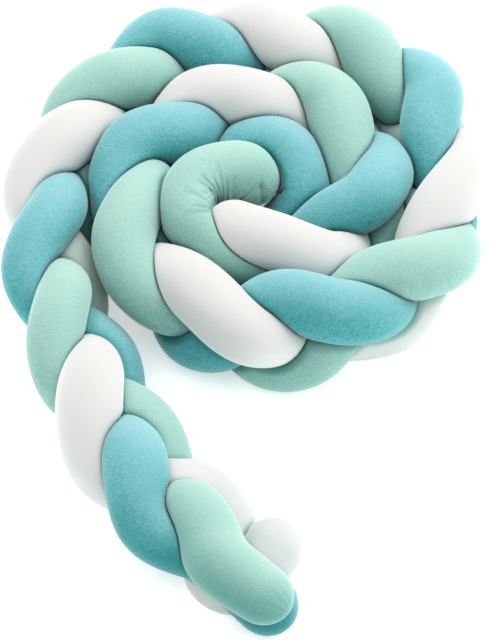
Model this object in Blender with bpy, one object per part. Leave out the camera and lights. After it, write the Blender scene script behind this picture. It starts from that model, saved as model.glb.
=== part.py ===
"""Braided crib bumper: three stuffed velvet tubes in one plait, coiled on its edge with a loose tail.

Each tube is one closed solid. The plait runs along a spine of rows, one row for each lobe of the
upper edge, and every tube keeps to its own side of the surface half way to its neighbours.
"""
import math

import bpy
import numpy as np
from mathutils import Vector
from mathutils.bvhtree import BVHTree

# ---- driving dimensions, in metres ----------------------------------------------------------
TUBE_RADIUS = 0.0295       # a free stuffed tube
LOBE_SWELL = 0.04          # share by which a lobe is fuller than the tube at a crossing
COLUMN_OFFSET = 0.033      # upper and lower lobes lie this far either side of the spine
CROSS_OFFSET = 0.015       # tubes swing this far across the plait as they pass each other
BED_HEIGHT = 0.025         # height of the centre of a lower lobe, less than the radius: a flat spot
CLEARANCE = 0.0002         # nominal space between tubes that press together
CORNER_POWER = 14.0        # how tightly a pressed tube turns from its flat to its round side
BEND_LIMIT = 0.89          # share of the bend radius a tube may fill on the inside of a bend
RING_STEP = 0.020          # distance between cross-sections
RING_SIDES = 16            # corners of a cross-section
CAP_RINGS = 4              # cross-sections in each rounded end
PATH_STEP = 0.005          # spacing of the points that stand for a centreline
EASE_ROUNDS = 1            # passes that soften the change from pressed to free
CAP_SOFTNESS = 0.7         # share of a cap's length that gives way to what presses on it
OWN_REACH = 0.095          # along one tube, parts further apart than this press on each other
LOBES_PER_TURN = 3         # a tube is back on the upper edge every third row
ROW_SAMPLES = 2            # points taken from the plait per row
SEAT_GAP = 0.0004          # least space between two tubes once their faces are seated
SEAT_SEARCH = 0.006        # how far from a face its neighbour is looked for
SEAT_ROUNDS = 30           # seating passes over all faces
SEAT_NUDGE = 0.00015       # extra draw-in where two faces still cross
RINGS_APART = 2            # faces of one tube this many rings apart must not cross

# ---- the spine: one row per upper lobe, from the loose tail to the middle of the coil --------
# columns: x, y, lean in degrees (how far the top of the plait leans out of the coil),
# fullness (share of the tube's radius)
SPINE_ROWS = (
    (-0.018, -0.384, 50, 0.98),
    (-0.072, -0.352, 48, 0.96),
    (-0.118, -0.266, 43, 1.01),
    (-0.153, -0.176, 32, 0.86),
    (-0.178, -0.084, 25, 0.85),
    (-0.170, 0.025, 18, 0.98),
    (-0.125, 0.106, 12, 0.98),
    (-0.061, 0.163, 10, 1.00),
    (0.028, 0.168, 8, 1.00),
    (0.112, 0.156, 5, 1.00),
    (0.174, 0.082, 6, 0.93),
    (0.184, -0.022, 22, 0.96),
    (0.149, -0.109, 20, 0.96),
    (0.060, -0.163, 1, 0.98),
    (-0.027, -0.156, 14, 0.98),
    (-0.098, -0.072, 24, 0.98),
    (-0.088, 0.041, 0, 1.00),
    (-0.006, 0.092, 0, 1.00),
    (0.085, 0.077, 0, 1.00),
    (0.118, -0.040, 0, 0.92),
    (0.044, -0.098, 0, 0.87),
    (-0.053, -0.042, 0, 0.98),
)

# ---- the tubes ------------------------------------------------------------------------------
# lobe: row of the tube's first upper lobe
# span: first and last row it spends in the plait
# tail, centre: bends of its loose ends as x, y, z, fullness, counted from the plait outwards
TUBES = {
    "mint_tube": {
        "lobe": 0,
        "span": (0.0, 20.5),
        "tail": ((-0.020, -0.431, 0.066, 0.94), (0.014, -0.454, 0.058, 0.92)),
        "centre": ((-0.047, -0.060, 0.089, 0.97), (-0.052, -0.039, 0.093, 0.94),
                   (-0.042, -0.019, 0.095, 0.94), (-0.022, -0.007, 0.094, 0.94),
                   (-0.002, -0.002, 0.089, 0.95), (0.005, -0.003, 0.083, 0.92)),
        "colour": (0.42, 0.70, 0.60),
    },
    "teal_tube": {
        "lobe": 1,
        "span": (0.85, 17.85),
        "tail": ((-0.046, -0.399, 0.050, 0.94), (-0.021, -0.406, 0.037, 0.90),
                 (0.001, -0.426, 0.030, 0.90), (0.018, -0.442, 0.026, 0.90)),
        "centre": ((0.126, 0.030, 0.066, 0.95), (0.123, -0.018, 0.088, 0.93),
                   (0.108, -0.038, 0.088, 0.92), (0.079, -0.047, 0.073, 0.92),
                   (0.048, -0.060, 0.045, 0.92), (0.010, -0.062, 0.030, 0.92),
                   (-0.036, -0.030, 0.030, 0.95), (-0.034, 0.012, 0.034, 0.95),
                   (-0.012, 0.036, 0.056, 0.97), (0.010, 0.043, 0.074, 0.98),
                   (0.036, 0.033, 0.080, 0.98), (0.052, 0.006, 0.072, 0.98),
                   (0.050, -0.014, 0.056, 0.95), (0.038, -0.024, 0.038, 0.95)),
        "colour": (0.13, 0.48, 0.53),
    },
    "white_tube": {
        "lobe": 2,
        "span": (1.1, 18.6),
        "tail": ((-0.038, -0.332, 0.032, 0.96), (-0.017, -0.361, 0.022, 0.94),
                 (-0.026, -0.391, 0.017, 0.90), (-0.024, -0.408, 0.016, 0.88),
                 (-0.007, -0.417, 0.018, 0.86), (0.009, -0.406, 0.022, 0.87),
                 (0.024, -0.386, 0.028, 0.91)),
        "centre": ((0.095, -0.047, 0.040, 0.92), (0.077, -0.098, 0.077, 0.88),
                   (0.036, -0.092, 0.091, 0.88), (0.002, -0.081, 0.093, 0.92),
                   (-0.011, -0.073, 0.090, 0.92)),
        "colour": (0.86, 0.85, 0.83),
    },
}


def clear_scene():
    for old in list(bpy.data.objects):
        bpy.data.objects.remove(old, do_unlink=True)


def curve_at(rows, u):
    """Smooth curve through the rows; u counts rows and may hold fractions."""
    ends = 2 * rows[0] - rows[1], 2 * rows[-1] - rows[-2]
    padded = np.vstack([ends[0], rows, ends[1]])
    i = np.clip(np.floor(u).astype(int), 0, len(rows) - 2)
    s = (u - i)[:, None]
    a, b, c, d = padded[i], padded[i + 1], padded[i + 2], padded[i + 3]
    linear = (c - a) * s
    square = (2 * a - 5 * b + 4 * c - d) * s ** 2
    cube = (3 * b - a - 3 * c + d) * s ** 3
    return b + 0.5 * (linear + square + cube)


def plait_points(lobe, u):
    """Centreline and fullness of one tube inside the plait at rows u."""
    rows = np.array(SPINE_ROWS)
    here = curve_at(rows, u)
    nudge = 0.05
    ahead = curve_at(rows, np.minimum(u + nudge, len(rows) - 1))
    behind = curve_at(rows, np.maximum(u - nudge, 0))
    along = (ahead - behind)[:, :2]
    along /= np.linalg.norm(along, axis=1)[:, None]
    outward = np.column_stack([-along[:, 1], along[:, 0], np.zeros(len(u))])
    upward = np.array([0.0, 0.0, 1.0])
    lean = np.radians(here[:, 2])[:, None]
    height_axis = np.cos(lean) * upward + np.sin(lean) * outward
    cross_axis = np.cos(lean) * outward - np.sin(lean) * upward
    spine = np.column_stack([here[:, :2], BED_HEIGHT + COLUMN_OFFSET * np.cos(lean[:, 0])])
    phase = 2 * math.pi * (u - lobe) / LOBES_PER_TURN
    rise = COLUMN_OFFSET * np.cos(phase)
    swing = -CROSS_OFFSET * np.sin(2 * phase)
    centre = spine + rise[:, None] * height_axis + swing[:, None] * cross_axis
    return np.column_stack([centre, here[:, 3]])


def natural_slopes(gaps, values):
    """Slopes of the smoothest curve through values with the given gaps between them."""
    count = len(values)
    matrix = np.zeros((count, count))
    right = np.zeros_like(values)
    matrix[0, :2] = 2, 1
    right[0] = 3 * (values[1] - values[0]) / gaps[0]
    matrix[-1, -2:] = 1, 2
    right[-1] = 3 * (values[-1] - values[-2]) / gaps[-1]
    for i in range(1, count - 1):
        before, after = gaps[i - 1], gaps[i]
        matrix[i, i - 1:i + 2] = after, 2 * (before + after), before
        right[i] = 3 * (after * (values[i] - values[i - 1]) / before
                        + before * (values[i + 1] - values[i]) / after)
    return np.linalg.solve(matrix, right)


def smooth_path(knots, fine=12):
    """Many points along the smoothest curve through the knots."""
    gaps = np.sqrt(np.linalg.norm(np.diff(knots[:, :3], axis=0), axis=1))
    slopes = natural_slopes(gaps, knots)
    s = np.arange(fine)[:, None] / fine
    pieces = []
    for i, gap in enumerate(gaps):
        start, end = knots[i], knots[i + 1]
        leave, arrive = slopes[i] * gap, slopes[i + 1] * gap
        pieces.append(start * (2 * s ** 3 - 3 * s ** 2 + 1) + leave * (s ** 3 - 2 * s ** 2 + s)
                      + end * (3 * s ** 2 - 2 * s ** 3) + arrive * (s ** 3 - s ** 2))
    pieces.append(knots[-1:])
    return np.vstack(pieces)


def length_along(points):
    steps = np.linalg.norm(np.diff(points[:, :3], axis=0), axis=1)
    return np.concatenate([[0.0], np.cumsum(steps)])


def points_at(points, lengths):
    along = length_along(points)
    return np.column_stack([np.interp(lengths, along, column) for column in points.T])


def stretched_ends(points):
    """Add a straight piece as long as the tube's radius to both ends, for the round caps."""
    first = points[0] - points[2]
    last = points[-1] - points[-3]
    first[3] = last[3] = 0.0
    first *= TUBE_RADIUS / np.linalg.norm(first)
    last *= TUBE_RADIUS / np.linalg.norm(last)
    return np.vstack([points[0] + first, points, points[-1] + last])


def tube_path(tube):
    """Evenly spaced centreline of a whole tube, tail end first, and its fullness."""
    first, last = tube["span"]
    count = int((last - first) * ROW_SAMPLES) + 1
    body = plait_points(tube["lobe"], np.linspace(first, last, count))
    tail = np.array(tube["tail"])[::-1]
    knots = np.vstack([tail, body, np.array(tube["centre"])])
    path = stretched_ends(smooth_path(knots))
    total = length_along(path)[-1]
    even = points_at(path, np.arange(0.0, total, PATH_STEP))
    return even[:, :3], even[:, 3]


def ring_lengths(total):
    """Where the cross-sections stand: close together in the caps, even in between."""
    turn = np.radians(90.0 * np.arange(1, CAP_RINGS + 1) / (CAP_RINGS + 0.5))
    cap = TUBE_RADIUS * (1 - np.cos(turn))
    spans = int(round((total - 2 * TUBE_RADIUS) / RING_STEP))
    body = np.linspace(TUBE_RADIUS, total - TUBE_RADIUS, spans + 1)
    return np.concatenate([cap, body, total - cap[::-1]])


def free_radius(lengths, total, heights, fullness):
    """Radius of the tube when nothing presses on it."""
    to_end = np.minimum(lengths, total - lengths)
    inside = np.clip(1 - to_end / TUBE_RADIUS, 0.0, 1.0)
    cap = np.sqrt(1 - inside ** 2)
    mid = BED_HEIGHT + COLUMN_OFFSET
    swell = 1 + LOBE_SWELL * np.clip(np.abs(heights - mid) / COLUMN_OFFSET, 0, 1)
    return TUBE_RADIUS * cap * swell * fullness


def section_axes(path, lengths):
    """Tangent, downward and sideways directions of each cross-section, and how it bends."""
    reach = PATH_STEP * 2
    before, after = points_at(path, lengths - reach), points_at(path, lengths + reach)
    centre = points_at(path, lengths)
    tangent = after - before
    tangent /= np.linalg.norm(tangent, axis=1)[:, None]
    down = np.array([0.0, 0.0, -1.0]) + tangent[:, 2:3] * tangent
    down /= np.linalg.norm(down, axis=1)[:, None]
    side = np.cross(tangent, down)
    bend = (after + before - 2 * centre) / reach ** 2
    return centre, down, side, bend


def pressed_limit(centre, rays, others):
    """Distance along each ray to the surface half way to the nearest of the other points."""
    offset = others[None, :, :] - centre[:, None, :]
    apart = np.linalg.norm(offset, axis=2)
    towards = np.einsum("rkc,rqc->rkq", rays, offset)
    half = (apart ** 2 / 2 - CLEARANCE / 2 * apart)[:, None, :]
    limit = np.where(towards > 1e-6, half / np.maximum(towards, 1e-6), np.inf)
    return limit.min(axis=2)


def own_limit(centre, rays, path, lengths):
    """The same between parts of one tube that lie far apart along it."""
    along = np.arange(len(path)) * PATH_STEP
    limit = np.full(rays.shape[:2], np.inf)
    for i, here in enumerate(lengths):
        far = path[np.abs(along - here) > OWN_REACH]
        limit[i] = pressed_limit(centre[i:i + 1], rays[i:i + 1], far)[0]
    return limit


def eased(share):
    """Soften a share of the free radius over neighbouring corners, never making it larger."""
    for _ in range(EASE_ROUNDS):
        across = (np.roll(share, 1, axis=1) + np.roll(share, -1, axis=1)) / 2
        ahead = np.vstack([share[1:], share[-1:]])
        behind = np.vstack([share[:1], share[:-1]])
        share = np.minimum(share, (across + (ahead + behind) / 2) / 2)
    return share


def tube_sections(path, fullness, others):
    """Corner points of every cross-section of one tube."""
    total = length_along(path)[-1]
    lengths = ring_lengths(total)
    centre, down, side, bend = section_axes(path, lengths)
    angle = 2 * math.pi * np.arange(RING_SIDES) / RING_SIDES
    rays = (np.cos(angle)[None, :, None] * down[:, None, :]
            + np.sin(angle)[None, :, None] * side[:, None, :])
    full = np.interp(lengths, np.arange(len(path)) * PATH_STEP, fullness)
    free = np.repeat(free_radius(lengths, total, centre[:, 2], full)[:, None], RING_SIDES, axis=1)
    pressed = np.minimum(pressed_limit(centre, rays, others), own_limit(centre, rays, path, lengths))
    towards_bend = np.einsum("rkc,rc->rk", rays, bend)
    inner = np.where(towards_bend > 1e-3, BEND_LIMIT / np.maximum(towards_bend, 1e-3), np.inf)
    limit = np.minimum(pressed, inner)
    pressed_radius = (free ** -CORNER_POWER + limit ** -CORNER_POWER) ** (-1 / CORNER_POWER)
    radius = free * eased(pressed_radius / free)
    sink = np.where(rays[:, :, 2] < -1e-6, centre[:, None, 2] / np.maximum(-rays[:, :, 2], 1e-6), np.inf)
    radius = np.minimum(radius, sink)
    return centre[:, None, :] + radius[:, :, None] * rays


def skin_faces(rings, sides):
    """Corner numbers of every face: the side faces ring by ring, then both fans at the poles."""
    faces = []
    for i in range(rings - 1):
        for k in range(sides):
            a, b = i * sides + k, i * sides + (k + 1) % sides
            faces.append((a, b, b + sides))
            faces.append((a, b + sides, a + sides))
    first_pole, last_pole = rings * sides, rings * sides + 1
    for k in range(sides):
        n = (k + 1) % sides
        faces.append((first_pole, n, k))
        faces.append((last_pole, (rings - 1) * sides + k, (rings - 1) * sides + n))
    return faces


def skin_points(sections, poles):
    return np.vstack([sections.reshape(-1, 3), poles])


def depth_inside(tree, point):
    """How much closer than the seat gap a point comes to the skin of another tube."""
    place, normal, _, distance = tree.find_nearest(Vector(point), SEAT_SEARCH)
    if place is None:
        return 0.0
    outside = (Vector(point) - place).dot(normal) > 0
    return SEAT_GAP - distance if outside else SEAT_GAP + distance


def face_shortfall(points, faces, trees):
    """Greatest shortfall found at the corners, edges and middle of the faces round each point."""
    shortfall = np.zeros(len(points))
    seen = {}
    for face in faces:
        places = [(c,) for c in face] + [tuple(sorted((face[i], face[i - 1]))) for i in range(3)] + [face]
        for corners in places:
            if corners not in seen:
                spot = points[list(corners)].mean(axis=0)
                seen[corners] = max(depth_inside(tree, spot) for tree in trees)
            for corner in corners:
                shortfall[corner] = max(shortfall[corner], seen[corners])
    return shortfall


def crossing_corners(tree, other, faces, other_faces, sides, same):
    """Corners of the faces that cross between two skins, or within one skin."""
    mine, theirs = set(), set()
    for f, g in tree.overlap(other):
        if same:
            ring_gap = abs(min(faces[f]) // sides - min(other_faces[g]) // sides)
            if ring_gap < RINGS_APART or set(faces[f]) & set(other_faces[g]):
                continue
        mine.update(faces[f])
        theirs.update(other_faces[g])
    return mine, theirs


def draw_in(sections, amounts):
    """Move section corners towards the middle of their section by the given amounts."""
    middle = sections.mean(axis=1, keepdims=True)
    inward = middle - sections
    inward[:, :, 2] *= sections[:, :, 2] > 1e-6
    distance = np.linalg.norm(inward, axis=2, keepdims=True)
    amounts = amounts[:sections.shape[0] * sections.shape[1]].reshape(sections.shape[:2])
    return sections + inward / distance * amounts[:, :, None]


def seat_tubes(sections, poles):
    """Draw tubes in, a little at a time, until a thin space is left all round each of them."""
    names = list(sections)
    faces = {n: skin_faces(*sections[n].shape[:2]) for n in names}
    for _ in range(SEAT_ROUNDS):
        points = {n: skin_points(sections[n], poles[n]) for n in names}
        trees = {n: BVHTree.FromPolygons(points[n].tolist(), faces[n]) for n in names}
        amounts = {}
        for n in names:
            others = [trees[m] for m in names if m != n]
            amounts[n] = np.maximum(face_shortfall(points[n], faces[n], others), 0.0) / 2
        for i, n in enumerate(names):
            for m in names[i:]:
                mine, theirs = crossing_corners(trees[n], trees[m], faces[n], faces[m],
                                                RING_SIDES, n == m)
                for tube, corners in ((n, sorted(mine)), (m, sorted(theirs))):
                    amounts[tube][corners] = np.maximum(amounts[tube][corners], SEAT_NUDGE)
        if max(a.max() for a in amounts.values()) < SEAT_NUDGE / 10:
            break
        for n in names:
            sections[n] = draw_in(sections[n], amounts[n])
    return sections, faces


def tube_mesh(name, points, faces):
    mesh = bpy.data.meshes.new(name)
    mesh.from_pydata(points.tolist(), [], faces)
    mesh.update()
    return mesh


def velvet(name, colour):
    material = bpy.data.materials.new(name)
    material.use_nodes = True
    shader = material.node_tree.nodes["Principled BSDF"]
    shader.inputs["Base Color"].default_value = (*colour, 1.0)
    shader.inputs["Roughness"].default_value = 0.9
    material.diffuse_color = (*colour, 1.0)
    return material


def build():
    clear_scene()
    paths = {}
    fullness = {}
    for name, tube in TUBES.items():
        paths[name], fullness[name] = tube_path(tube)
    poles = {name: path[[0, -1]] for name, path in paths.items()}
    sections = {}
    yielding = int(CAP_SOFTNESS * TUBE_RADIUS / PATH_STEP)
    for name in TUBES:
        others = np.vstack([path[yielding:-yielding] for other, path in paths.items() if other != name])
        sections[name] = tube_sections(paths[name], fullness[name], others)
    sections, faces = seat_tubes(sections, poles)
    everything = np.vstack([s.reshape(-1, 3) for s in sections.values()])
    low, high = everything.min(axis=0), everything.max(axis=0)
    shift = np.array([-(low[0] + high[0]) / 2, -(low[1] + high[1]) / 2, -low[2]])
    for name, tube in TUBES.items():
        points = skin_points(sections[name], poles[name]) + shift
        mesh = tube_mesh(name, points, faces[name])
        for face in mesh.polygons:
            face.use_smooth = True
        mesh.materials.append(velvet(name + "_velvet", tube["colour"]))
        bpy.context.scene.collection.objects.link(bpy.data.objects.new(name, mesh))


build()
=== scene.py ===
"""Braided crib bumper: the three velvet tubes of the plait, finely made, on a pale studio floor."""
import math

import bpy
import numpy as np
from mathutils.bvhtree import BVHTree
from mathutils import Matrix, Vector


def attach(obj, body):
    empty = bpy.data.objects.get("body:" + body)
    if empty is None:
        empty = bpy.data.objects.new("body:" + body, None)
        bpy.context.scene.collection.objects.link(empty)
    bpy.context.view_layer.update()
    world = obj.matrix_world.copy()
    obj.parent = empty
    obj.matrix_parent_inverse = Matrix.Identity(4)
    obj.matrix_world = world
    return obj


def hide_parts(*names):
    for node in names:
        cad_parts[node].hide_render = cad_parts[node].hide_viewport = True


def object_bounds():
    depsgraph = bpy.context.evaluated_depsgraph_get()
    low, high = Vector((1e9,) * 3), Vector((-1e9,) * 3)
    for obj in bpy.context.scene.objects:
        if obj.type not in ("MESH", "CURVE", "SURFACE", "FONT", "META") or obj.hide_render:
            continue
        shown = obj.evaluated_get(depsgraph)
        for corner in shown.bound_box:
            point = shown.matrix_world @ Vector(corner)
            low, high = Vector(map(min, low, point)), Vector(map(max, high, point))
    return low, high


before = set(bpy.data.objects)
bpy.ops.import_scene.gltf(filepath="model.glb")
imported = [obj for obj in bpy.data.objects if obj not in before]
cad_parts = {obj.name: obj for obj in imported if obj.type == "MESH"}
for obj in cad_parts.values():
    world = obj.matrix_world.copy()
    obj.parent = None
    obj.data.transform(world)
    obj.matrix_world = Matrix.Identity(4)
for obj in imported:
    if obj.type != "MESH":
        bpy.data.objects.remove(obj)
cad_low, cad_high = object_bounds()

# Lengths are in metres and angles in degrees unless a comment says otherwise. The plait is worked
# out where the tables below put it; the finished tubes are then moved over the part, so that the
# two plans have the same middle.

# ---- sizes of the plait, as in the part ---------------------------------------------------------
TUBE_RADIUS = 0.0295       # of a full tube with nothing pressing on it
LOBE_SWELL = 0.04          # share by which a tube is thicker in its highest and lowest lobes
COLUMN_OFFSET = 0.033      # rise and fall of a tube about the spine
CROSS_OFFSET = 0.015       # and its swing to either side
BED_HEIGHT = 0.025         # height of the middle of the lowest lobes
LOBES_PER_TURN = 3         # rows from one upper lobe of a tube to its next
ROW_SAMPLES = 2            # knots of a tube's path for each row
ROW_NUDGE = 0.05           # rows gone ahead and back to find the direction of the spine
KNOT_STEPS = 24            # points worked out between two knots
PATH_STEP = 0.0025         # spacing of the points of a finished path
PATH_NUDGE = 4 * PATH_STEP   # length gone ahead and back to find the direction of a tube

# ---- how finely the cloth is made ---------------------------------------------------------------
RING_STEP = 0.0028         # distance between cross-sections
END_STEP = 0.0009          # and near both ends, where the bends are tightest
END_SPAN = 0.14            # length of tube made that finely at each end
RING_SIDES = 72            # corners of a cross-section
CAP_RINGS = 14             # cross-sections in each closed end

# ---- how the tubes press on each other ----------------------------------------------------------
CONTACT_GAP = 0.0005       # space left between tubes that press together
CORNER_POWER = 16.0        # how tightly a pressed tube turns from its flat to its round side
BEND_LIMIT = 0.97          # share of the bend radius a tube may fill on the inside of a bend
NEIGHBOUR_REACH = 0.075    # centrelines further away than this never press
OWN_REACH = 0.095          # along one tube, parts further apart than this press on each other
CAP_SOFTNESS = 0.7         # share of a tube's radius at each tip that doesn't press on the others
GIVES_WAY = "mint"         # this tube is dented where the closed ends of the others would cut into it
DENT_GAP = 0.0016          # space left in such a dent
NO_LIMIT = 1.0             # far more than any tube's radius
STRAIGHT = 1e-3            # a tube that bends less than this, per metre, counts as straight
TINY = 1e-6                # anything smaller counts as nothing and isn't divided by

# ---- soft unevenness of the filling -------------------------------------------------------------
FILL_LUMP = 0.0005         # height of the broad unevenness
# its waves; columns: radians per metre along the tube, waves round it, radians from tube to tube
FILL_WAVES = ((42.0, 1, 0.4), (68.0, 2, 1.7), (110.0, 3, 2.9), (26.0, 1, 4.2))

# ---- pleats round the closed ends ---------------------------------------------------------------
END_GATHER = 0.0008        # depth of the pleats
END_PLEATS = 19            # number of them
PLEAT_WANDER = 1.3         # how unevenly they are spaced, in radians
PLEAT_WAVES = 3            # waves of that unevenness round the tube
PLEAT_LENGTH = 0.8         # share of the tube's radius along which they fade out
POLE_FADE = 0.002          # distance from the very tip along which they begin

# ---- gathers on the inside of the tight bend at a tube's inner end ------------------------------
BEND_GATHER = 0.0040       # depth of the gathers
BEND_PITCH = 0.0085        # spacing of them along the tube
BEND_START = 0.62          # share of the bend radius filled by the tube where gathers begin
BEND_FULL = 0.78           # and where they are deepest
GATHERED_END = 0.16        # only this much of the inner end is gathered; the plait is smooth
# how they vary along a tube; columns: middle, swing, radians per metre, radians from tube to tube
GATHER_WANDERS = ((0.0, 0.20, 170, 1.0), (0.0, 0.12, 410, 2.1))
GATHER_LENGTH = (0.75, 0.22, 530, 3.0)
GATHER_DEPTH = (0.65, 0.35, 730, 1.4)

# ---- fans of creases where the cloth is drawn in ------------------------------------------------
PINCH_HEIGHT = 0.060       # they lie on the upper side, above this height
PINCH_FADE = 0.015         # and reach their full depth this far above it
CREASE_SLANT = 10          # creases by which the fan turns for each metre outwards
CREASE_POINT = 1.2         # power that makes the valleys narrow
CREASE_END = 0.001         # a crease never fades out over less than this
CREASE_PRESS = 0.94        # how hard the cloth counts as pressed in the shallowest valley, which paints shade into the creases
# how they vary from crease to crease; columns: middle, swing, radians per crease, start in radians
CREASE_WANDER = (0.0, 0.22, 1.8, 2.0)
CREASE_LENGTH = (0.70, 0.30, 2.4, 1.0)
CREASE_DEPTH = (0.75, 0.25, 3.9, 0.0)

# ---- the map of the flat cloth ------------------------------------------------------------------
SEAM_SHARE = 0.25          # share of a turn; a face with corners this near on both sides of the
                           # seam lies across it

# ---- the velvet ---------------------------------------------------------------------------------
PAINTED_LIGHT_DIRECTION = (0.20, 0.50, 0.84)  # painted light: cloth that faces this way, the lamp's side, is painted in its lit colour
# noises; columns: scale, detail, roughness; the first two in space, the ribs on the flat cloth
SPECKLE_NOISE = (650.0, 2.0, 0.6)
BRUSHED_NOISE = (24.0, 3.0, 0.55)
RIB_NOISE = (1.0, 1.0, 0.5)
RIB_STRETCH = (420.0, 150.0, 1.0)   # they lie close together along the tube and are long round it
# mottling by those noises; columns: noise where it is strongest, noise where it ends, strength
SPECKLE_MOTTLE = (0.35, 0.60, 0.90)
BRUSHED_MOTTLE = (0.35, 0.62, 0.45)
RIB_MOTTLE = (0.30, 0.60, 0.50)
# ranges: a value that goes from the first number to the second is turned into third to fourth
LIT_SHARE_RANGE = (-0.3, 0.95, 0.0, 1.0)         # how far the cloth faces the painted light's direction, to how lit it is painted
MOTTLE_BY_LIT_SHARE = (0.0, 1.0, 0.75, 0.30)     # how lit it is painted, to how dark the mottling is: deeper in the painted shade
TURNED_AWAY = (0.0, 1.0, 1.0, 0.0)         # how lit it is painted, to how far the cloth is turned away from the painted light
LOW_SHADE = (0.010, 0.085, 0.20, 0.0)      # height, to the painted shade near the floor
DEEP_SHADE = (0.045, 0.090, 0.85, 0.0)     # height, to the painted shade between the coil's turns
HEMMED_IN = (0.40, 0.80, 0.0, 1.0)         # press, to how closely the cloth is hemmed in, for that painted shade
COIL_SHADE = (-0.16, -0.05, 0.0, 1.0)      # y of the finished tubes, to how far it is in the coil, for that painted shade
TAIL_SHADE = (-0.17, -0.33, 0.0, 0.74)     # and to the painted shade on the tail's side turned away from the lamp
NEAR_SHADE = (0.86, 1.0, 0.0, 0.22)        # press, to the broad shade beside a touching tube
TOUCH_SHADE = (0.96, 1.0, 0.0, 0.75)       # and to the narrow one where they touch
RIB_RELIEF = 0.5           # height of the ribs beside that of the speckle
BUMP_DEPTH = 0.0010        # height of the relief
BUMP_SMOOTH = 0.15         # strength of the relief on velvet without mottling
BUMP_MOTTLED = 0.45        # and what full mottling adds to it
PILE_ROUGHNESS = 0.92
PILE_SPECULAR = 0.15
SHEEN_WEIGHT = 0.5
SHEEN_ROUGHNESS = 0.42

# ---- the studio ---------------------------------------------------------------------------------
WHITE = (1.0, 1.0, 1.0, 1.0)
ROOM_LIGHT_SIDE = (0.25, 0.50, 0.83)
ROOM_RANGE = (-0.3, 1.0, 0.30, 2.5)  # how far the room faces that side, to its brightness
KEY_PLACE = (0.8, 1.5, 2.3)          # behind the object on the right
KEY_TARGET = (0.0, 0.0, 0.05)
KEY_SIZE = 1.9             # across
KEY_POWER = 55.0           # watts
FLOOR_REACH = 6.0          # from the middle to each side
FLOOR_COLOUR = (0.93, 0.93, 0.93, 1.0)
FLOOR_GLOW = 0.40          # lights the floor from below, as a light table does
FLOOR_ROUGHNESS = 0.8
FLOOR_SPECULAR = 0.1

# ---- the photograph's view ----------------------------------------------------------------------
CAMERA_ELEVATION = 51.0
CAMERA_DISTANCE = 3.105
CAMERA_TARGET = (0.0, -0.147, 0.050)  # before the tubes are moved over the part
CAMERA_SENSOR = 36.0       # millimetres
CAMERA_LENS = 191.5        # millimetres

# ---- the spine: one row per upper lobe, from the loose tail to the middle of the coil -----------
# columns: x, y, lean, fullness (share of the tube's radius)
SPINE_ROWS = (
    (-0.018, -0.384, 50, 0.98),
    (-0.072, -0.352, 48, 0.96),
    (-0.118, -0.266, 43, 1.01),
    (-0.153, -0.176, 32, 0.86),
    (-0.178, -0.084, 25, 0.85),
    (-0.170, 0.025, 18, 0.98),
    (-0.125, 0.106, 12, 0.98),
    (-0.061, 0.163, 10, 1.00),
    (0.028, 0.168, 8, 1.00),
    (0.112, 0.156, 5, 1.00),
    (0.174, 0.082, 6, 0.93),
    (0.184, -0.022, 22, 0.96),
    (0.149, -0.109, 20, 0.96),
    (0.060, -0.163, 1, 0.98),
    (-0.027, -0.156, 14, 0.98),
    (-0.098, -0.072, 24, 0.98),
    (-0.088, 0.041, 0, 1.00),
    (-0.006, 0.092, 0, 1.00),
    (0.085, 0.077, 0, 1.00),
    (0.118, -0.040, 0, 0.92),
    (0.044, -0.098, 0, 0.87),
    (-0.053, -0.042, 0, 0.98),
)
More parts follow.
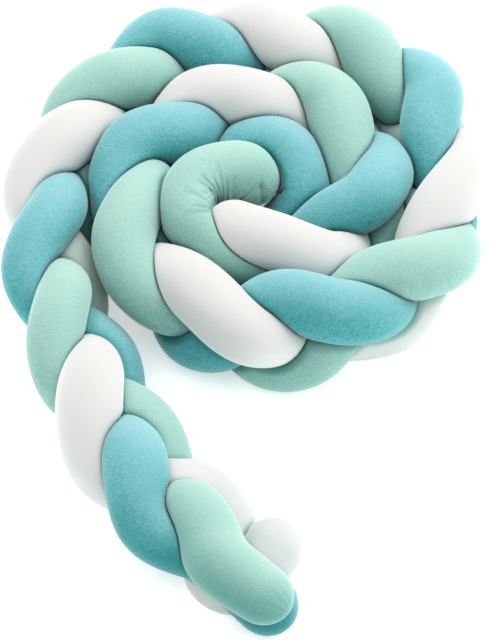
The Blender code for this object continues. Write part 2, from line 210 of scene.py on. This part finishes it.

# ---- the tubes: as in the part, but the mint tube's last two bends at the tail are straighter ---
# lobe: row of the tube's first upper lobe; span: first and last row it spends in the plait
# tail, centre: bends of its loose ends as x, y, z, fullness, counted from the plait outwards
# pinches: fans of creases as x, y, inner and outer reach, first and last angle, count, depth
# the next four keys are linear colours: painted light for the side that faces the lamp; painted
# shade for the side turned away from it; the dark of the mottling's specks, which is also the painted
# shade beside touching tubes and on the tail; and the painted shade near the floor and between the
# turns of the coil; the white tube's painted shades are greenish, painted light thrown back by the
# coloured tubes
# mottle: strength of the mottling; sheen: tint of the sheen
TUBES = {
    "mint": {
        "lobe": 0,
        "span": (0.0, 20.5),
        "tail": ((-0.020, -0.428, 0.066, 0.97), (0.0135, -0.454, 0.059, 0.90)),
        "centre": ((-0.047, -0.060, 0.089, 0.97), (-0.052, -0.039, 0.093, 0.94),
                   (-0.042, -0.019, 0.095, 0.94), (-0.022, -0.007, 0.094, 0.94),
                   (-0.002, -0.002, 0.089, 0.95), (0.005, -0.003, 0.083, 0.92)),
        "pinches": ((-0.010, -0.065, 0.022, 0.050, 80, 208, 12, 0.0045),
                    (0.016, -0.042, 0.016, 0.020, 45, 125, 2, 0.0110)),
        "painted_lit_side": (0.235, 0.360, 0.320),
        "shade": (0.260, 0.470, 0.415),
        "depth": (0.048, 0.205, 0.178),
        "between": (0.040, 0.200, 0.175),
        "mottle": 0.55,
        "sheen": (0.85, 1.00, 0.96),
    },
    "teal": {
        "lobe": 1,
        "span": (0.85, 17.85),
        "tail": ((-0.046, -0.399, 0.050, 0.94), (-0.021, -0.406, 0.037, 0.90),
                 (0.001, -0.426, 0.030, 0.90), (0.018, -0.442, 0.026, 0.90)),
        "centre": ((0.126, 0.030, 0.066, 0.95), (0.123, -0.018, 0.088, 0.93),
                   (0.108, -0.038, 0.088, 0.92), (0.079, -0.047, 0.073, 0.92),
                   (0.048, -0.060, 0.045, 0.92), (0.010, -0.062, 0.030, 0.92),
                   (-0.036, -0.030, 0.030, 0.95), (-0.034, 0.012, 0.034, 0.95),
                   (-0.012, 0.036, 0.056, 0.97), (0.010, 0.043, 0.074, 0.98),
                   (0.036, 0.033, 0.080, 0.98), (0.052, 0.006, 0.072, 0.98),
                   (0.050, -0.014, 0.056, 0.95), (0.038, -0.024, 0.038, 0.95)),
        "pinches": ((0.030, -0.008, 0.006, 0.022, -100, -30, 2, 0.0060),),
        "painted_lit_side": (0.160, 0.325, 0.350),
        "shade": (0.085, 0.400, 0.420),
        "depth": (0.004, 0.138, 0.144),
        "between": (0.000, 0.140, 0.145),
        "mottle": 1.0,
        "sheen": (0.72, 0.97, 1.00),
    },
    "white": {
        "lobe": 2,
        "span": (1.1, 18.6),
        "tail": ((-0.038, -0.332, 0.032, 0.96), (-0.017, -0.361, 0.022, 0.94),
                 (-0.026, -0.391, 0.017, 0.90), (-0.024, -0.408, 0.016, 0.88),
                 (-0.007, -0.417, 0.018, 0.86), (0.009, -0.406, 0.022, 0.87),
                 (0.024, -0.386, 0.028, 0.91)),
        "centre": ((0.095, -0.047, 0.040, 0.92), (0.077, -0.098, 0.077, 0.88),
                   (0.036, -0.092, 0.091, 0.88), (0.002, -0.081, 0.093, 0.92),
                   (-0.011, -0.073, 0.090, 0.92)),
        "pinches": (),
        "painted_lit_side": (0.380, 0.368, 0.360),
        "shade": (0.600, 0.612, 0.600),
        "depth": (0.370, 0.425, 0.410),
        "between": (0.200, 0.400, 0.340),
        "mottle": 0.15,
        "sheen": (1.00, 1.00, 1.00),
    },
}


# ---- centrelines --------------------------------------------------------------------------------
def curve_at(rows, u):
    """Smooth curve through the rows; u counts rows and may hold fractions."""
    ends = 2 * rows[0] - rows[1], 2 * rows[-1] - rows[-2]
    padded = np.vstack([ends[0], rows, ends[1]])
    i = np.clip(np.floor(u).astype(int), 0, len(rows) - 2)
    s = (u - i)[:, None]
    a, b, c, d = padded[i], padded[i + 1], padded[i + 2], padded[i + 3]
    linear = (c - a) * s
    square = (2 * a - 5 * b + 4 * c - d) * s ** 2
    cube = (3 * b - a - 3 * c + d) * s ** 3
    return b + 0.5 * (linear + square + cube)


def spine_axes(rows, u, lean):
    """Directions in which the tubes rise and swing about the spine at rows u."""
    ahead = curve_at(rows, np.minimum(u + ROW_NUDGE, len(rows) - 1))
    behind = curve_at(rows, np.maximum(u - ROW_NUDGE, 0))
    along = (ahead - behind)[:, :2]
    along /= np.linalg.norm(along, axis=1)[:, None]
    outward = np.column_stack([-along[:, 1], along[:, 0], np.zeros(len(u))])
    upward = np.array([0.0, 0.0, 1.0])
    height_axis = np.cos(lean)[:, None] * upward + np.sin(lean)[:, None] * outward
    cross_axis = np.cos(lean)[:, None] * outward - np.sin(lean)[:, None] * upward
    return height_axis, cross_axis


def plait_points(lobe, u):
    """Centreline and fullness of one tube inside the plait at rows u."""
    rows = np.array(SPINE_ROWS)
    x, y, lean, fullness = curve_at(rows, u).T
    lean = np.radians(lean)
    height_axis, cross_axis = spine_axes(rows, u, lean)
    spine = np.column_stack([x, y, BED_HEIGHT + COLUMN_OFFSET * np.cos(lean)])
    phase = 2 * math.pi * (u - lobe) / LOBES_PER_TURN
    rise = COLUMN_OFFSET * np.cos(phase)
    swing = -CROSS_OFFSET * np.sin(2 * phase)
    centre = spine + rise[:, None] * height_axis + swing[:, None] * cross_axis
    return np.column_stack([centre, fullness])


def natural_slopes(gaps, values):
    """Slopes of the smoothest curve through values with the given gaps between them."""
    count = len(values)
    matrix = np.zeros((count, count))
    right = np.zeros_like(values)
    matrix[0, :2] = 2, 1
    right[0] = 3 * (values[1] - values[0]) / gaps[0]
    matrix[-1, -2:] = 1, 2
    right[-1] = 3 * (values[-1] - values[-2]) / gaps[-1]
    for i in range(1, count - 1):
        before, after = gaps[i - 1], gaps[i]
        matrix[i, i - 1:i + 2] = after, 2 * (before + after), before
        rise_before = after * (values[i] - values[i - 1]) / before
        rise_after = before * (values[i + 1] - values[i]) / after
        right[i] = 3 * (rise_before + rise_after)
    return np.linalg.solve(matrix, right)


def smooth_path(knots):
    """Many points along the smoothest curve through the knots."""
    gaps = np.sqrt(np.linalg.norm(np.diff(knots[:, :3], axis=0), axis=1))
    slopes = natural_slopes(gaps, knots)
    s = np.arange(KNOT_STEPS)[:, None] / KNOT_STEPS
    from_start = 2 * s ** 3 - 3 * s ** 2 + 1
    leaving = s ** 3 - 2 * s ** 2 + s
    from_end = 3 * s ** 2 - 2 * s ** 3
    arriving = s ** 3 - s ** 2
    pieces = []
    for i, gap in enumerate(gaps):
        piece = knots[i] * from_start + slopes[i] * gap * leaving
        pieces.append(piece + knots[i + 1] * from_end + slopes[i + 1] * gap * arriving)
    pieces.append(knots[-1:])
    return np.vstack(pieces)


def length_along(points):
    """Length of the path from its start to each of its points."""
    steps = np.linalg.norm(np.diff(points[:, :3], axis=0), axis=1)
    return np.concatenate([[0.0], np.cumsum(steps)])


def points_at(points, lengths):
    """Points of the path at the given lengths from its start."""
    along = length_along(points)
    return np.column_stack([np.interp(lengths, along, column) for column in points.T])


def stretched_ends(points):
    """Add a straight piece as long as the tube's radius to both ends, for the round caps."""
    first = points[0] - points[2]
    last = points[-1] - points[-3]
    first[3] = last[3] = 0.0
    first *= TUBE_RADIUS / np.linalg.norm(first)
    last *= TUBE_RADIUS / np.linalg.norm(last)
    return np.vstack([points[0] + first, points, points[-1] + last])


def tube_path(tube):
    """Evenly spaced centreline of a whole tube, tail end first, and its fullness."""
    first, last = tube["span"]
    count = int((last - first) * ROW_SAMPLES) + 1
    body = plait_points(tube["lobe"], np.linspace(first, last, count))
    tail = np.array(tube["tail"])[::-1]
    knots = np.vstack([tail, body, np.array(tube["centre"])])
    path = stretched_ends(smooth_path(knots))
    total = length_along(path)[-1]
    even = points_at(path, np.arange(0.0, total, PATH_STEP))
    return even[:, :3], even[:, 3]


# ---- cross-sections -----------------------------------------------------------------------------
def ring_lengths(total):
    """Where the cross-sections stand: close together in the caps and ends, wider in between."""
    turn = np.radians(90.0 * np.arange(1, CAP_RINGS + 1) / (CAP_RINGS + 0.5))
    cap = TUBE_RADIUS * (1 - np.cos(turn))
    first = np.arange(TUBE_RADIUS, END_SPAN, END_STEP)
    spans = int(round((total - 2 * END_SPAN) / RING_STEP))
    body = np.linspace(END_SPAN, total - END_SPAN, spans + 1)
    return np.concatenate([cap, first, body, total - first[::-1], total - cap[::-1]])


def section_axes(path, lengths):
    """Middle of each cross-section, its downward and sideways directions, and how the tube bends."""
    before, after = points_at(path, lengths - PATH_NUDGE), points_at(path, lengths + PATH_NUDGE)
    centre = points_at(path, lengths)
    tangent = after - before
    tangent /= np.linalg.norm(tangent, axis=1)[:, None]
    down = np.array([0.0, 0.0, -1.0]) + tangent[:, 2:3] * tangent
    down /= np.linalg.norm(down, axis=1)[:, None]
    side = np.cross(tangent, down)
    bend = (after + before - 2 * centre) / PATH_NUDGE ** 2
    return centre, down, side, bend


def share(value):
    """The value, kept between 0 and 1."""
    return np.clip(value, 0, 1)


def uneven(along, around, seed):
    """Slow, smooth unevenness between -1 and 1 from a few crossed waves."""
    total = 0.0
    for rate, lobes, start in FILL_WAVES:
        total = total + np.sin(along * rate + lobes * around + start * seed)
    return total / len(FILL_WAVES)


def end_pleats(to_end, angle, seed):
    """Depth of the small pleats round a closed end."""
    wander = PLEAT_WANDER * np.sin(PLEAT_WAVES * angle + seed)
    pleat = 0.5 - 0.5 * np.cos(END_PLEATS * angle + wander)
    fade = share(1 - to_end / (PLEAT_LENGTH * TUBE_RADIUS)) * share(to_end / POLE_FADE)
    return END_GATHER * pleat * fade


def free_radius(tube, lengths, total, heights, fullness, angle):
    """Radius towards each corner of each cross-section when nothing presses on the tube."""
    to_end = np.minimum(lengths, total - lengths)
    cap = np.sqrt(1 - share(1 - to_end / TUBE_RADIUS) ** 2)
    mid = BED_HEIGHT + COLUMN_OFFSET
    swell = 1 + LOBE_SWELL * share(np.abs(heights - mid) / COLUMN_OFFSET)
    radius = (TUBE_RADIUS * cap * swell * fullness)[:, None]
    seed = tube["lobe"] + 1.0
    away = to_end[:, None]
    lumps = FILL_LUMP * uneven(lengths[:, None], angle, seed) * share(away / TUBE_RADIUS)
    return radius + lumps - end_pleats(away, angle, seed)


def pressed_limit(centre, rays, near):
    """Distance along each ray to the surface half way to the nearest of the near points."""
    offset = near - centre
    apart = np.linalg.norm(offset, axis=1)
    towards = rays @ offset.T
    half = (apart ** 2 / 2 - CONTACT_GAP / 2 * apart)[None, :]
    limit = np.where(towards > TINY, half / np.maximum(towards, TINY), np.inf)
    return limit.min(axis=1)


def pressed_limits(centre, rays, path, lengths, others):
    """The same for every cross-section, against the other tubes and far parts of this one."""
    along = np.arange(len(path)) * PATH_STEP
    limits = np.full(rays.shape[:2], NO_LIMIT)
    for i, here in enumerate(lengths):
        far = path[np.abs(along - here) > OWN_REACH]
        around = np.vstack([others, far])
        near = around[np.linalg.norm(around - centre[i], axis=1) < NEIGHBOUR_REACH]
        if len(near):
            limits[i] = np.minimum(pressed_limit(centre[i], rays[i], near), NO_LIMIT)
    return limits


def varied(place, seed, middle, swing, rate, shift):
    """A value that swings about its middle from place to place, differently for each seed."""
    return middle + swing * np.sin(place * rate + shift * seed)


def bend_gathers(tube, lengths, total, bend, towards_bend):
    """Depth of the narrow creases across the inside of the tight bend at a tube's inner end."""
    seed = tube["lobe"] + 1.0
    along = lengths[:, None]
    sharpness = np.linalg.norm(bend, axis=1)[:, None]
    wander = sum(varied(along, seed, *row) for row in GATHER_WANDERS)
    crease = 1 - np.abs(np.sin(math.pi * (along / BEND_PITCH + wander)))
    length = varied(along, seed, *GATHER_LENGTH)
    inside = share(towards_bend / np.maximum(sharpness, TINY))
    reach = share((inside - (1 - length)) / length)
    tight = share((sharpness * TUBE_RADIUS - BEND_START) / (BEND_FULL - BEND_START))
    inner_end = share((GATHERED_END - total + along) / TUBE_RADIUS)
    off_the_cap = share(np.minimum(along, total - along) / TUBE_RADIUS)
    depth = BEND_GATHER * varied(along, seed, *GATHER_DEPTH)
    return depth * tight * reach * crease * inner_end * off_the_cap


def pinch_creases(points, pinch):
    """Short, uneven creases that fan out from where the cloth is drawn in, 0 to 1."""
    x, y, inner, outer, first, last, count, _ = pinch
    across, ahead = points[:, :, 0] - x, points[:, :, 1] - y
    distance = np.hypot(across, ahead)
    middle = (first + last) / 2
    turn = (np.degrees(np.arctan2(ahead, across)) - middle + 180) % 360 - 180
    order = turn / (last - first) + 0.5
    wander = varied(count * order, 1.0, *CREASE_WANDER)
    place = count * order + wander + CREASE_SLANT * (distance - inner)
    number = np.round(place)
    valley = (1 - np.abs(np.sin(math.pi * place))) ** CREASE_POINT
    reach = inner + (outer - inner) * varied(number, 1.0, *CREASE_LENGTH)
    fade = share((reach - distance) / np.maximum(reach - inner, CREASE_END))
    fade = fade * share(distance / inner) ** 2
    sides = share(order * count) * share((1 - order) * count)
    upper = share((points[:, :, 2] - PINCH_HEIGHT) / PINCH_FADE)
    return valley * fade * sides * upper * varied(number, 1.0, *CREASE_DEPTH)


def tube_sections(tube, path, fullness, others):
    """Corner points of every cross-section, how hard each is pressed, and where the rings stand."""
    total = length_along(path)[-1]
    lengths = ring_lengths(total)
    centre, down, side, bend = section_axes(path, lengths)
    angle = 2 * math.pi * np.arange(RING_SIDES) / RING_SIDES
    rays = (np.cos(angle)[None, :, None] * down[:, None, :]
            + np.sin(angle)[None, :, None] * side[:, None, :])
    full = np.interp(lengths, np.arange(len(path)) * PATH_STEP, fullness)
    free = free_radius(tube, lengths, total, centre[:, 2], full, angle[None, :])
    towards_bend = np.einsum("rkc,rc->rk", rays, bend)
    in_bend = np.where(towards_bend > STRAIGHT, BEND_LIMIT / np.maximum(towards_bend, STRAIGHT), NO_LIMIT)
    limit = np.minimum(pressed_limits(centre, rays, path, lengths, others), in_bend)
    pressed = 1 - share((limit - free) / TUBE_RADIUS)
    radius = (free ** -CORNER_POWER + limit ** -CORNER_POWER) ** (-1 / CORNER_POWER)
    radius = radius - bend_gathers(tube, lengths, total, bend, towards_bend)
    for pinch in tube["pinches"]:
        crease = pinch_creases(centre[:, None, :] + radius[:, :, None] * rays, pinch)
        radius = radius - pinch[-1] * crease
        # the valleys count as pressed, so that painted shade darkens them
        drawn_in = CREASE_PRESS + (1 - CREASE_PRESS) * crease
        pressed = np.maximum(pressed, np.where(crease > 0, drawn_in, 0))
    falling = -rays[:, :, 2]
    to_floor = np.where(falling > TINY, centre[:, None, 2] / np.maximum(falling, TINY), NO_LIMIT)
    radius = np.minimum(radius, to_floor)
    return centre[:, None, :] + radius[:, :, None] * rays, pressed, lengths


# ---- meshes -------------------------------------------------------------------------------------
def tube_faces(rings, sides):
    """Corner numbers of every face: quads between the rings and a fan at each pole."""
    i, k = np.meshgrid(np.arange(rings - 1), np.arange(sides), indexing="ij")
    n = (k + 1) % sides
    quads = np.stack([i * sides + k, i * sides + n, (i + 1) * sides + n, (i + 1) * sides + k], axis=-1)
    faces = quads.reshape(-1, 4).tolist()
    first_pole, last_pole = rings * sides, rings * sides + 1
    for k in range(sides):
        n = (k + 1) % sides
        faces.append((first_pole, n, k))
        faces.append((last_pole, (rings - 1) * sides + k, (rings - 1) * sides + n))
    return faces


def tube_skin(sections, poles):
    """Surface of a tube, for finding where it would cut into another."""
    points = np.vstack([sections.reshape(-1, 3), poles])
    return BVHTree.FromPolygons(points.tolist(), tube_faces(*sections.shape[:2]))


def give_way(sections, pressed, centres, skin):
    """Draw back each corner whose way out from the middle of its tube meets another tube's skin, and mark
    it fully pressed, which paints shade into the dent.
    """
    for ring, marks, centre in zip(sections, pressed, centres):
        for k, corner in enumerate(ring):
            reach = corner - centre
            length = np.linalg.norm(reach)
            clear = skin.ray_cast(tuple(centre), tuple(reach), length)[3]
            if clear is not None:
                ring[k] = centre + reach * (clear - DENT_GAP) / length
                marks[k] = 1.0


def lay_cloth_map(mesh, lengths, sides):
    """Map the cloth flat in metres: along the tube, and around it."""
    layer = mesh.uv_layers.new(name="cloth")
    corners = np.empty(len(mesh.loops), dtype=int)
    mesh.loops.foreach_get("vertex_index", corners)
    starts = np.empty(len(mesh.polygons), dtype=int)
    counts = np.empty(len(mesh.polygons), dtype=int)
    mesh.polygons.foreach_get("loop_start", starts)
    mesh.polygons.foreach_get("loop_total", counts)
    rings = len(lengths)
    along = lengths[np.minimum(corners // sides, rings - 1)]
    along = np.where(corners == rings * sides, 0.0, along)
    turn = (corners % sides) / sides
    face = np.repeat(np.arange(len(counts)), counts)
    top = np.zeros(len(counts))
    np.maximum.at(top, face, turn)
    across_the_seam = (top[face] > 1 - SEAM_SHARE) & (turn < SEAM_SHARE)
    turn = np.where(across_the_seam, turn + 1.0, turn)
    around_size = 2 * math.pi * TUBE_RADIUS
    flat = np.column_stack([along, turn * around_size]).astype(np.float32)
    layer.data.foreach_set("uv", flat.ravel())


def tube_piece(name, sections, pressed, lengths, poles):
    """One tube as a smooth mesh with its cloth map and its pressed places."""
    rings, sides = sections.shape[:2]
    points = np.vstack([sections.reshape(-1, 3), poles])
    mesh = bpy.data.meshes.new(name)
    mesh.from_pydata(points.tolist(), [], tube_faces(rings, sides))
    mesh.update()
    mesh.polygons.foreach_set("use_smooth", [True] * len(mesh.polygons))
    lay_cloth_map(mesh, lengths, sides)
    # how pressed each corner is; the velvet paints shade from it
    press = mesh.attributes.new("pressed", "FLOAT", "POINT")
    press.data.foreach_set("value", np.append(pressed.ravel(), [0.0, 0.0]).astype(np.float32))
    piece = bpy.data.objects.new(name, mesh)
    bpy.context.scene.collection.objects.link(piece)
    return piece


# ---- materials ----------------------------------------------------------------------------------
class Shader:
    """Small helper that places nodes and joins them."""

    def __init__(self, name):
        self.material = bpy.data.materials.new(name)
        self.material.use_nodes = True
        self.tree = self.material.node_tree
        self.surface = self.tree.nodes["Principled BSDF"]

    def node(self, kind, **settings):
        node = self.tree.nodes.new(kind)
        for key, value in settings.items():
            setattr(node, key, value)
        return node

    def join(self, source, target):
        self.tree.links.new(source, target)

    def noise(self, vector, scale, detail, roughness):
        node = self.node("ShaderNodeTexNoise")
        node.inputs["Scale"].default_value = scale
        node.inputs["Detail"].default_value = detail
        node.inputs["Roughness"].default_value = roughness
        self.join(vector, node.inputs["Vector"])
        return node.outputs["Fac"]

    def remap(self, value, low, high, to_low, to_high):
        node = self.node("ShaderNodeMapRange")
        node.inputs["From Min"].default_value = low
        node.inputs["From Max"].default_value = high
        node.inputs["To Min"].default_value = to_low
        node.inputs["To Max"].default_value = to_high
        self.join(value, node.inputs["Value"])
        return node.outputs["Result"]

    def mix(self, factor, a, b):
        node = self.node("ShaderNodeMix", data_type="RGBA")
        self.join(factor, node.inputs["Factor"])
        for value, socket in ((a, node.inputs["A"]), (b, node.inputs["B"])):
            if isinstance(value, tuple):
                socket.default_value = (*value, 1.0)
            else:
                self.join(value, socket)
        return node.outputs["Result"]

    def math(self, operation, a, b):
        node = self.node("ShaderNodeMath", operation=operation)
        for value, socket in ((a, node.inputs[0]), (b, node.inputs[1])):
            if isinstance(value, float):
                socket.default_value = value
            else:
                self.join(value, socket)
        return node.outputs["Value"]


def painted_light_of(shader):
    """Painted light: 1 where the cloth faces the lamp's side and is painted lit, 0 where it faces away and
    is painted in shade.
    """
    facing = shader.node("ShaderNodeVectorMath", operation="DOT_PRODUCT")
    facing.inputs[1].default_value = PAINTED_LIGHT_DIRECTION
    shader.join(shader.node("ShaderNodeNewGeometry").outputs["Normal"], facing.inputs[0])
    return shader.remap(facing.outputs["Value"], *LIT_SHARE_RANGE)


def ribs_of(shader):
    """Faint ribs of the knit, laid out on the flat cloth."""
    cloth = shader.node("ShaderNodeUVMap", uv_map="cloth").outputs["UV"]
    stretch = shader.node("ShaderNodeVectorMath", operation="MULTIPLY")
    stretch.inputs[1].default_value = RIB_STRETCH
    shader.join(cloth, stretch.inputs[0])
    return shader.noise(stretch.outputs["Vector"], *RIB_NOISE)


def mottled(shader, tube, lit_share, textures):
    """Colour of the open pile with painted light and shade, from the side turned away from the lamp to the
    side that faces it, darker where a texture is low; the mottling is deeper in the painted shade.
    """
    painted_light_colour = shader.mix(lit_share, tube["shade"], tube["painted_lit_side"])
    dark = shader.mix(shader.remap(lit_share, *MOTTLE_BY_LIT_SHARE), painted_light_colour, tube["depth"])
    colour = painted_light_colour
    for texture, (full, none, strength) in textures:
        amount = shader.remap(texture, full, none, strength * tube["mottle"], 0.0)
        colour = shader.mix(amount, colour, dark)
    return colour


def add_painted_shade(shader, tube, colour, lit_share, pressed, place):
    """Painted shade: darken the colour near the floor, between the coil's turns and on the tail's side
    turned away from the lamp.
    """
    where = shader.node("ShaderNodeSeparateXYZ")
    shader.join(place, where.inputs["Vector"])
    height, y = where.outputs["Z"], where.outputs["Y"]
    enclosed = shader.math("MULTIPLY", shader.remap(height, *DEEP_SHADE), shader.remap(pressed, *HEMMED_IN))
    between = shader.math("MULTIPLY", shader.remap(y, *COIL_SHADE), enclosed)
    shelter = shader.math("MAXIMUM", shader.remap(height, *LOW_SHADE), between)
    sunken = shader.mix(shelter, colour, tube["between"])
    tail = shader.math("MULTIPLY", shader.remap(y, *TAIL_SHADE), shader.remap(lit_share, *TURNED_AWAY))
    return shader.mix(tail, sunken, tube["depth"])


def add_relief(shader, tube, speckle, ribs):
    """Fine relief of the pile and the ribs."""
    height = shader.math("ADD", speckle, shader.math("MULTIPLY", ribs, RIB_RELIEF))
    bump = shader.node("ShaderNodeBump")
    bump.inputs["Strength"].default_value = BUMP_SMOOTH + BUMP_MOTTLED * tube["mottle"]
    bump.inputs["Distance"].default_value = BUMP_DEPTH
    shader.join(height, bump.inputs["Height"])
    shader.join(bump.outputs["Normal"], shader.surface.inputs["Normal"])


def velvet(name, tube):
    """Short crystal velvet: speckled pile, brushed patches, faint ribs and a soft bright rim, with painted
    light and shade in its colour.
    """
    shader = Shader(name)
    place = shader.node("ShaderNodeTexCoord").outputs["Object"]
    pressed = shader.node("ShaderNodeAttribute", attribute_name="pressed").outputs["Fac"]
    # painted light: how far the cloth faces the lamp's side
    lit_share = painted_light_of(shader)
    speckle = shader.noise(place, *SPECKLE_NOISE)
    brushed = shader.noise(place, *BRUSHED_NOISE)
    ribs = ribs_of(shader)
    textures = ((brushed, BRUSHED_MOTTLE), (speckle, SPECKLE_MOTTLE), (ribs, RIB_MOTTLE))
    colour = mottled(shader, tube, lit_share, textures)
    colour = add_painted_shade(shader, tube, colour, lit_share, pressed, place)
    # painted shade from how pressed the cloth is: broad beside a touching tube, narrow where tubes touch,
    # in dents and in crease valleys
    colour = shader.mix(shader.remap(pressed, *NEAR_SHADE), colour, tube["depth"])
    colour = shader.mix(shader.remap(pressed, *TOUCH_SHADE), colour, tube["depth"])
    shader.join(colour, shader.surface.inputs["Base Color"])
    add_relief(shader, tube, speckle, ribs)
    sockets = shader.surface.inputs
    sockets["Roughness"].default_value = PILE_ROUGHNESS
    sockets["Specular IOR Level"].default_value = PILE_SPECULAR
    sockets["Sheen Weight"].default_value = SHEEN_WEIGHT
    sockets["Sheen Roughness"].default_value = SHEEN_ROUGHNESS
    sockets["Sheen Tint"].default_value = (*tube["sheen"], 1.0)
    return shader.material


def floor_material():
    """Plain, pale and softly glowing."""
    shader = Shader("pale_floor")
    sockets = shader.surface.inputs
    sockets["Base Color"].default_value = FLOOR_COLOUR
    sockets["Roughness"].default_value = FLOOR_ROUGHNESS
    sockets["Specular IOR Level"].default_value = FLOOR_SPECULAR
    sockets["Emission Color"].default_value = WHITE
    sockets["Emission Strength"].default_value = FLOOR_GLOW
    return shader.material


# ---- the object ---------------------------------------------------------------------------------
def shaped_tubes(paths, fullness):
    """Cross-sections of all the tubes, pressed together."""
    yielding = int(CAP_SOFTNESS * TUBE_RADIUS / PATH_STEP)
    made = {}
    for name, tube in TUBES.items():
        others = np.vstack([path[yielding:-yielding] for other, path in paths.items() if other != name])
        made[name] = tube_sections(tube, paths[name], fullness[name], others)
    sections, pressed, lengths = made[GIVES_WAY]
    centres = points_at(paths[GIVES_WAY], lengths)
    for name in TUBES:
        if name != GIVES_WAY:
            give_way(sections, pressed, centres, tube_skin(made[name][0], paths[name][[0, -1]]))
    return made


def shift_to_part(made):
    """How far the tubes have to move so that their plan and the part's have the same middle."""
    everything = np.vstack([sections.reshape(-1, 3) for sections, _, _ in made.values()])
    own = (everything.min(axis=0) + everything.max(axis=0)) / 2
    cad = (np.array(cad_low) + np.array(cad_high)) / 2
    return np.array([cad[0] - own[0], cad[1] - own[1], 0.0])


def make_tubes():
    """Make the three tubes over the part, and tell how far they were moved for that."""
    paths = {}
    fullness = {}
    for name, tube in TUBES.items():
        paths[name], fullness[name] = tube_path(tube)
    made = shaped_tubes(paths, fullness)
    shift = shift_to_part(made)
    for name, tube in TUBES.items():
        sections, pressed, lengths = made[name]
        poles = paths[name][[0, -1]] + shift
        piece = tube_piece(name + "_velvet_tube", sections + shift, pressed, lengths, poles)
        piece.data.materials.append(velvet(name + "_crystal_velvet", tube))
        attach(piece, "root")
        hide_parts(name + "_tube")
    return shift


# ---- floor, light and camera --------------------------------------------------------------------
def make_floor():
    """A wide flat floor under the object."""
    mesh = bpy.data.meshes.new("floor")
    corners = [(x * FLOOR_REACH, y * FLOOR_REACH, 0) for x, y in ((-1, -1), (1, -1), (1, 1), (-1, 1))]
    mesh.from_pydata(corners, [], [(0, 1, 2, 3)])
    mesh.materials.append(floor_material())
    floor = bpy.data.objects.new("floor", mesh)
    bpy.context.scene.collection.objects.link(floor)


def aim(thing, target):
    """Turn a light or camera so that it looks at the target."""
    offset = np.array(target) - np.array(thing.location)
    flat = math.hypot(offset[0], offset[1])
    pitch = math.atan2(flat, -offset[2])
    yaw = math.atan2(-offset[0], offset[1])
    thing.rotation_euler = (pitch, 0.0, yaw)


def make_key_lamp():
    """One large soft lamp."""
    data = bpy.data.lights.new("key", "AREA")
    data.shape = "DISK"
    data.size = KEY_SIZE
    data.energy = KEY_POWER
    lamp = bpy.data.objects.new("key", data)
    lamp.location = KEY_PLACE
    bpy.context.scene.collection.objects.link(lamp)
    aim(lamp, KEY_TARGET)


def make_room():
    """A white room that is brightest on the lamp's side."""
    world = bpy.data.worlds.new("studio")
    world.use_nodes = True
    nodes, links = world.node_tree.nodes, world.node_tree.links
    towards = nodes.new("ShaderNodeVectorMath")
    towards.operation = "DOT_PRODUCT"
    towards.inputs[1].default_value = ROOM_LIGHT_SIDE
    links.new(nodes.new("ShaderNodeTexCoord").outputs["Generated"], towards.inputs[0])
    strength = nodes.new("ShaderNodeMapRange")
    for socket, value in zip(("From Min", "From Max", "To Min", "To Max"), ROOM_RANGE):
        strength.inputs[socket].default_value = value
    links.new(towards.outputs["Value"], strength.inputs["Value"])
    backdrop = nodes["Background"]
    backdrop.inputs["Color"].default_value = WHITE
    links.new(strength.outputs["Result"], backdrop.inputs["Strength"])
    bpy.context.scene.world = world


def make_camera(shift):
    """The photograph's view: from in front and above, with a long lens."""
    elevation = math.radians(CAMERA_ELEVATION)
    target = np.array(CAMERA_TARGET) + shift
    back = np.array([0.0, -math.cos(elevation), math.sin(elevation)])
    data = bpy.data.cameras.new("camera")
    data.sensor_width = CAMERA_SENSOR
    data.lens = CAMERA_LENS
    camera = bpy.data.objects.new("camera", data)
    camera.location = target + back * CAMERA_DISTANCE
    bpy.context.scene.collection.objects.link(camera)
    aim(camera, target)
    bpy.context.scene.camera = camera


def main():
    bpy.context.scene.view_settings.view_transform = "Standard"
    shift = make_tubes()
    make_floor()
    make_key_lamp()
    make_room()
    make_camera(shift)


main()
